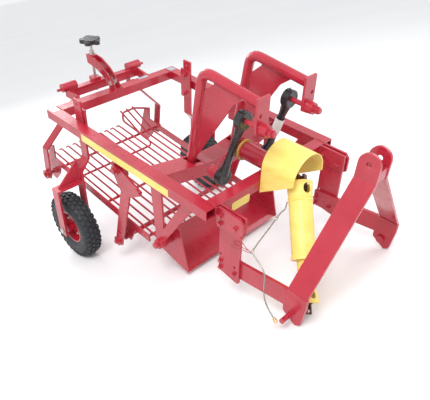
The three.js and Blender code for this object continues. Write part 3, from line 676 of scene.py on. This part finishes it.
def bracket_details(name, sign):
    """Bolts and welds of a bracket, its hitch arm and its hitch pin."""
    bolts = Piece()
    for outer, inner, size, places in BRACKET_BOLTS:
        for y, z in places:
            bolts.bolt(across(sign, (outer, y, z)), (sign, 0, 0), size)
            bolts.bolt(across(sign, (inner, y, z)), (-sign, 0, 0), size, nut=True)
    bolts.finish(f"{name}_bracket_bolts", red, "frame")
    seams = Piece()
    seams.seam(sign, (366, -1262, 740), (366, -1262, 786), 2.8)
    seams.seam(sign, (353.5, -1252, 745), (353.5, -1252, 832), 3)
    seams.seam(sign, (378.6, -1270, 731.5), (378.6, -1388, 731.5), 2.6)
    seams.seam(sign, (366, -1652, 613), (366, -1746, 613), 3)
    seams.seam(sign, (348.6, -1652, 612), (348.6, -1746, 612), 3)
    seams.finish(f"{name}_bracket_weld", weld_red, "frame")
    ring = Piece()
    ring.bead(circle(across(sign, (366.2, *HITCH_PIN)), "X", 14, 16), 2.4, 3)
    ring.finish(f"{name}_pin_weld", weld_red, "frame")


for side_name, sign in SIDES:
    bracket_details(side_name, sign)


# ---- main frame ----
def frame_seams():
    """Welds where the beams, the cross member and the front supports meet."""
    seams = Piece()
    for sign in (-1, 1):
        for y in (FRONT_BEAM[0] - 0.6, FRONT_BEAM[1], REAR_BEAM[0], REAR_BEAM[1] + 0.4):
            seams.seam(sign, (SIDE_INNER + 0.4, y, BEAM_LOW + 2), (SIDE_INNER + 0.4, y, BEAM_TOP - 2), 2.8)
        for front, back in (FRONT_BEAM, REAR_BEAM):
            for z in (BEAM_TOP + 0.6, BEAM_LOW - 0.4):
                seams.seam(sign, (SIDE_INNER + 0.2, front + 2, z), (SIDE_INNER + 0.2, back - 2, z), 2.8)
        seams.seam(sign, (389, -904, 823), (389, -798, 823), 3)
        seams.seam(sign, (389, -907, 758), (389, -907, 820), 3)
        for x, back, front in ((402.8, -834, -906), (402.8, -1080, -1144), (417, -1082, -1142)):
            seams.seam(sign, (x, back, BEAM_LOW - 1), (x, front, BEAM_LOW - 1), 3)
    for sign in (-1, 1):
        seams.seam(sign, (46, FRONT_BEAM[0] - 1, BEAM_TOP + 2), (46, FRONT_BEAM[1], BEAM_TOP + 2), 3)
    seams.finish("frame_welds", weld_red, "frame")


STRIP_ENDS = (-324, -1005)
STRIP_TOP = 821
STRIP_LOW = (780, 786)      # on the right and left side beams
PLATE_OUTLINE = (
    (-284, 799), (-291, 790), (-291, 760), (-280, 753.5), (-180, 753), (-174, 760), (-174, 792),
    (-181, 799),
)
# Bluish-grey patches flat on the beams' top faces at the rear: painted reflections, not parts.
PAINTED_REFLECTIONS = ((395, 440, -52, -8), (-395, -440, -52, -8), (170, 240, -26, -2))


def films():
    """The blank yellow strips and front plate, and the painted reflections lying on the top faces at the
    rear beam.
    """
    strip = Piece()
    back, front = STRIP_ENDS
    for sign, low in zip((-1, 1), STRIP_LOW):
        outline = ((back, STRIP_TOP), (front, STRIP_TOP), (front, low), (back, low))
        strip.slab([(sign * SIDE_X, y, z) for y, z in outline], (sign, 0, 0))
    strip.slab([(x, FRONT_BEAM[0], z) for x, z in PLATE_OUTLINE], (0, -1, 0))
    strip.finish("hazard_films", decal_yellow, "frame", smooth=False)
    patches = Piece()
    for x0, x1, y0, y1 in PAINTED_REFLECTIONS:
        outline = ((x0, y0), (x1, y0), (x1, y1), (x0, y1))
        patches.slab([(x, y, BEAM_TOP) for x, y in outline], (0, 0, 1))
    patches.finish("painted_reflection_patches", painted_reflection_material, "frame", smooth=False)


frame_seams()
films()


# ---- levers, rods and rocker ----
# The two edges where the gusset sheet is stitched to the bent tube, and the stitches' pitch.
SHEET_EDGES = (
    ((-866, 806), (-928, 1168), 12),
    ((-1002, 1243), (-1160, 1226), 14),
)
SHEET_FACES = (-5.5, 5.5)


def lever_details(name, sign):
    """Stitch welds of the gusset sheet, and the bolt and crown of the castle nut."""
    x = sign * HOOP_X
    stitches = Piece()
    for low, high, step in SHEET_EDGES:
        start = Vector((x, *low))
        span = Vector((x, *high)) - start
        for k in range(int(span.length / step)):
            spot = start + span * ((k + 0.5) * step / span.length)
            for dx in SHEET_FACES:
                stitches.turned(spot + Vector((dx, 0, 0)), (1 if dx > 0 else -1, 0, 0),
                                [(-2.5, 5.2), (0, 5), (1.6, 3.9), (2.6, 1.8)], 10)
    for dx in SHEET_FACES:
        for low, high, _ in SHEET_EDGES:
            stitches.bead([(x + dx, *low), (x + dx, *high)], 2.4)
    stitches.bead([(x - 36, -1261, 1213), (x - 24, -1261, 1213)], 2.6)
    stitches.finish(f"{name}_lever_stitches", weld_red, f"{name}_lever")
    ends = Piece()
    ends.bolt((x, -1330, ROD_TOP.z), (0, -1, 0), 24, washer=False)
    ends.finish(f"{name}_lever_nut", red, f"{name}_lever")
    slots = Piece()
    for k in range(6):
        angle = math.pi / 3 * k + math.pi / 6
        spot = Vector((x + 15 * math.cos(angle), -1322, ROD_TOP.z + 15 * math.sin(angle)))
        slots.turned(spot, (0, -1, 0), [(0, 4.6), (9, 4.4), (10, 3.6)], 10)
    slots.finish(f"{name}_castle_nut", red, f"{name}_lever")


def rod_details(name, sign):
    """Rings and grease nipple of a rod's heads, and the blank label on the left rod."""
    x = sign * HOOP_X
    rings = Piece()
    for centre in (ROD_TOP, ROD_LOW):
        for dy in (-1, 1):
            rings.turned((x, centre.y + dy * 16.9, centre.z), (0, dy, 0), [
                (-2, 40), (1.5, 40), (2.2, 38), (2.2, 31), (0.4, 29), (0.4, 27),
            ], 40)
    rings.turned((x, ROD_TOP.y, ROD_TOP.z + 42), (0, 0, 1), [
        (-3, 6), (2, 6), (2.4, 3), (7, 2.6), (8, 3.4), (10, 2),
    ], 14)
    rings.finish(f"{name}_rod_rings", black, f"{name}_drive_rod")
    if sign > 0:
        down = (ROD_LOW - ROD_TOP).normalized()
        start = Vector((x, ROD_TOP.y, ROD_TOP.z)) + down * 118
        label = Piece()
        label.turned(start, down, [(0, 22.1), (0, 22.5), (92, 22.5), (92, 22.1), (0, 22.1)], 40)
        label.finish("rod_label", label_white, f"{name}_drive_rod")


def rocker_details():
    """Welds round the rocker's three hubs, and the nuts behind its studs."""
    seams = Piece()
    for y in (-1013, -999):
        seams.bead(circle((0, y, SHAFT_Z), "Y", 44, 20), 2.8)
        for sign in (-1, 1):
            seams.bead(circle((sign * HOOP_X, y, ROD_LOW.z), "Y", 30, 16), 2.4)
    seams.finish("rocker_weld", weld_red, "rocker")
    nuts = Piece()
    for sign in (-1, 1):
        nuts.bolt((sign * HOOP_X, -981, ROD_LOW.z), (0, 1, 0), 19, nut=True)
    nuts.finish("rocker_nuts", red, "rocker")


for side_name, sign in SIDES:
    lever_details(side_name, sign)
    rod_details(side_name, sign)
rocker_details()


# ---- share, supports, sieve and hangers ----
def hanger_details(name, sign):
    """The share's bolt, and the bolts and welds at the sieve's two pivots."""
    nuts = Piece()
    nuts.bolt(across(sign, (436.5, -886, 415)), (sign, 0, 0), 30)
    nuts.finish(f"{name}_share_nut", red, "frame")
    eyes = Piece()
    for pivot in SIEVE_PIVOTS:
        eyes.bolt(across(sign, (452.2, *pivot)), (sign, 0, 0), 22)
    eyes.finish(f"{name}_sieve_nuts", red, "sieve_body")
    seams = Piece()
    for pivot in SIEVE_PIVOTS:
        seams.bead(circle(across(sign, (377, *pivot)), "X", 19, 16), 2.4)
    seams.finish(f"{name}_sieve_weld", weld_red, "sieve_body")


for side_name, sign in SIDES:
    hanger_details(side_name, sign)


def sieve_seams():
    """Welds where the sieve's rods cross its three cross rods."""
    seams = Piece()
    for k in range(SIEVE_RODS):
        x = (k - (SIEVE_RODS - 1) / 2) * SIEVE_PITCH
        for y in (-700, -330, 110):
            z = 379 + 0.09 * y
            for dy in (-8, 8):
                seams.bead([(x - 5, y + dy, z - 6), (x + 5, y + dy, z - 6)], 2.4)
    seams.finish("sieve_rod_welds", weld_red, "sieve_body")


sieve_seams()


# ---- drive shaft guards ----
def slot_direction(angle):
    """Out of the shaft's axis: 0 faces the near side, and an angle turns about the shaft."""
    facing = Vector((-0.566, -0.529, 0.632))
    facing = (facing - HANG * facing.dot(HANG)).normalized()
    return facing * math.cos(angle) + facing.cross(HANG) * math.sin(angle)


def cut_keyholes(piece, holes):
    """Cuts arched holes through a thin wall: (distance, radius, angle, width, length) each."""
    cutter = bmesh.new()
    for distance, radius, angle, width, length in holes:
        out = slot_direction(angle)
        side = out.cross(HANG)
        ring = []
        for k in range(24):
            turn = 2 * math.pi * k / 24
            reach = length / 2 - width / 2
            along = math.sin(turn) * width / 2 + (reach if math.sin(turn) >= 0 else -reach)
            ring.append(JOINT + HANG * (distance + along) + side * (math.cos(turn) * width / 2))
        inner = [cutter.verts.new(p + out * (radius - 16)) for p in ring]
        outer = [cutter.verts.new(p + out * (radius + 16)) for p in ring]
        cutter.faces.new(inner)
        cutter.faces.new(list(reversed(outer)))
        for k in range(24):
            n = (k + 1) % 24
            cutter.faces.new((inner[n], inner[k], outer[k], outer[n]))
    bmesh.ops.recalc_face_normals(cutter, faces=cutter.faces)
    cutter.transform(LEVEL)
    data = bpy.data.meshes.new("keyhole_tool")
    cutter.to_mesh(data)
    cutter.free()
    tool = bpy.data.objects.new("keyhole_tool", data)
    bpy.context.scene.collection.objects.link(tool)
    change = piece.modifiers.new("keyholes", "BOOLEAN")
    change.object = tool
    change.operation = "DIFFERENCE"
    change.solver = "EXACT"
    bpy.context.view_layer.update()
    graph = bpy.context.evaluated_depsgraph_get()
    result = bpy.data.meshes.new_from_object(piece.evaluated_get(graph))
    piece.modifiers.clear()
    piece.data = result
    bpy.data.objects.remove(tool)
    result.shade_smooth()
    result.set_sharp_from_angle(angle=math.radians(30))


# Distance down the shaft and radius: out along each shell and back inside it.
UPPER_SHELL = (
    (20, 56), (20, 59.4), (22, 60), (26, 59.6), (50, 57), (78, 54.4), (87, 54), (88.5, 56),
    (91, 56.8), (94, 56), (95.5, 54), (103.5, 54), (105, 56), (107.5, 56.8), (110, 56),
    (111.5, 53.9), (200, 53.7), (348, 53.2), (351, 54.5), (353, 57), (368, 57), (370, 55.6),
    (370, 50.2), (132, 50.2), (60, 52.4), (20, 56),
)
LOWER_SHELL = (
    (240, 27.2), (240, 31.8), (468, 31.8), (470, 33), (473, 40), (476, 41.5), (479, 40.4),
    (483, 40.4), (486, 42.4), (489, 43.2), (492, 43.4), (530, 51), (552, 56.2), (554, 57),
    (556, 56.6), (556, 53), (528, 46.6), (494, 38.6), (480, 36), (470, 30), (466, 27.2),
    (240, 27.2),
)


def guards():
    """Shells of the upper and lower guard with their keyholes, and the rings inside them."""
    upper = Piece()
    upper.turned(JOINT, HANG, UPPER_SHELL, 80)
    made = upper.finish("upper_guard_shell", yellow, "drive_shaft", angle=30)
    cut_keyholes(made, [(56, 54, math.radians(27), 36, 46), (56, 54, math.radians(207), 36, 46)])
    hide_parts("upper_guard")
    lid = Piece()
    lid.turned(JOINT, HANG, [(360, 32.4), (360, 52), (368, 52), (368, 32.4), (360, 32.4)], 64)
    lid.finish("upper_guard_lip", yellow, "drive_shaft")
    lower = Piece()
    lower.turned(JOINT, HANG, LOWER_SHELL, 72)
    made = lower.finish("lower_guard_shell", yellow, "drive_shaft_end", angle=30)
    cut_keyholes(made, [(522, 46, math.radians(30), 26, 34), (522, 46, math.radians(210), 26, 34)])
    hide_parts("lower_guard")
    for name, body, start, radius in (
        ("upper", "drive_shaft", 118, 46), ("lower", "drive_shaft_end", 470, 30),
    ):
        bearing = Piece()
        bearing.turned(JOINT + HANG * start, HANG, [
            (0, 13.4), (0, radius), (6, radius), (6, 13.4), (0, 13.4),
        ], 48)
        bearing.finish(f"{name}_guard_bearing", black, body)


guards()


# ---- finishes of the CAD nodes ----
# Every other node is red.
FINISH = {
    "adjuster_knob": black, "adjuster_screw": zinc, "joint_yoke": brown_steel,
    "tractor_yoke": brown_steel, "left_rod": black, "right_rod": black, "shaft_shield": yellow,
    "input_shaft": brown_steel, "left_wheel_axle": zinc, "right_wheel_axle": zinc,
    "left_tyre": rubber, "right_tyre": rubber, "upper_guard": yellow, "lower_guard": yellow,
    "restraint_cable": strand, "tie_wire": red_wire, "guard_disc": tan_plastic,
}


def bevel(material, radius):
    """Rounds the shading of the CAD's hard edges."""
    tree = material.node_tree
    node = tree.nodes.new("ShaderNodeBevel")
    node.samples = 6
    node.inputs["Radius"].default_value = radius
    first = tree.nodes["Principled BSDF"].inputs["Normal"]
    if first.is_linked:
        last = first.links[0].from_node
        while last.inputs["Normal"].is_linked:
            last = last.inputs["Normal"].links[0].from_node
        tree.links.new(node.outputs["Normal"], last.inputs["Normal"])


def finish_cad():
    """Gives the CAD nodes their materials and smooth shading on their round faces."""
    for name, node in frame["nodes"].items():
        material = FINISH.get(name, red)
        if not node.data.materials:
            node.data.materials.append(material)
        for index in range(len(node.data.materials)):
            node.data.materials[index] = material
        node.data.polygons.foreach_set("use_smooth", [True] * len(node.data.polygons))
        node.data.set_sharp_from_angle(angle=math.radians(24))


for paint in (red, black):
    bevel(paint, 0.0022)
finish_cad()


# ---- floor and light ----
FLOOR_HALF = 300


def make_floor():
    """A pale studio floor, wide enough to reach the horizon."""
    low = min(corner[2] for corner in cad_box)
    data = bpy.data.meshes.new("floor")
    corners = ((-1, -1), (1, -1), (1, 1), (-1, 1))
    data.from_pydata([(x * FLOOR_HALF, y * FLOOR_HALF, low) for x, y in corners], [], [(0, 1, 2, 3)])
    s = Shader("floor_paint")
    s.color(s.ramp(s.noise(0.6, 3), [(0.3, (0.86, 0.86, 0.865)), (0.7, (0.89, 0.89, 0.89))]))
    s.roughness(s.span(s.noise(1.2, 3), 0.75, 0.85))
    data.materials.append(s.material)
    floor = bpy.data.objects.new("floor", data)
    bpy.context.scene.collection.objects.link(floor)


def area_light(name, place, target, size, power):
    """A round lamp at a place, facing a target."""
    data = bpy.data.lights.new(name, "AREA")
    data.shape = "DISK"
    data.size = size
    data.energy = power
    light = bpy.data.objects.new(name, data)
    light.location = place
    light.rotation_euler = (Vector(target) - Vector(place)).to_track_quat("-Z", "Y").to_euler()
    bpy.context.scene.collection.objects.link(light)


make_floor()
area_light("key", (-2.6, -2.4, 4.4), (0, 0, 0.4), 2.6, 170)
area_light("fill", (3.6, -1.6, 2.6), (0, 0, 0.4), 3.2, 60)
area_light("rim", (0.8, 4.2, 3.4), (0, 0, 0.5), 2.6, 80)
world = bpy.data.worlds.new("studio")
world.use_nodes = True
world.node_tree.nodes["Background"].inputs["Color"].default_value = (0.97, 0.98, 1.0, 1)
world.node_tree.nodes["Background"].inputs["Strength"].default_value = 0.95
bpy.context.scene.world = world
bpy.context.scene.view_settings.view_transform = "Standard"
bpy.context.scene.view_settings.look = "None"
bpy.context.scene.view_settings.exposure = 0.0

bpy.context.view_layer.update()
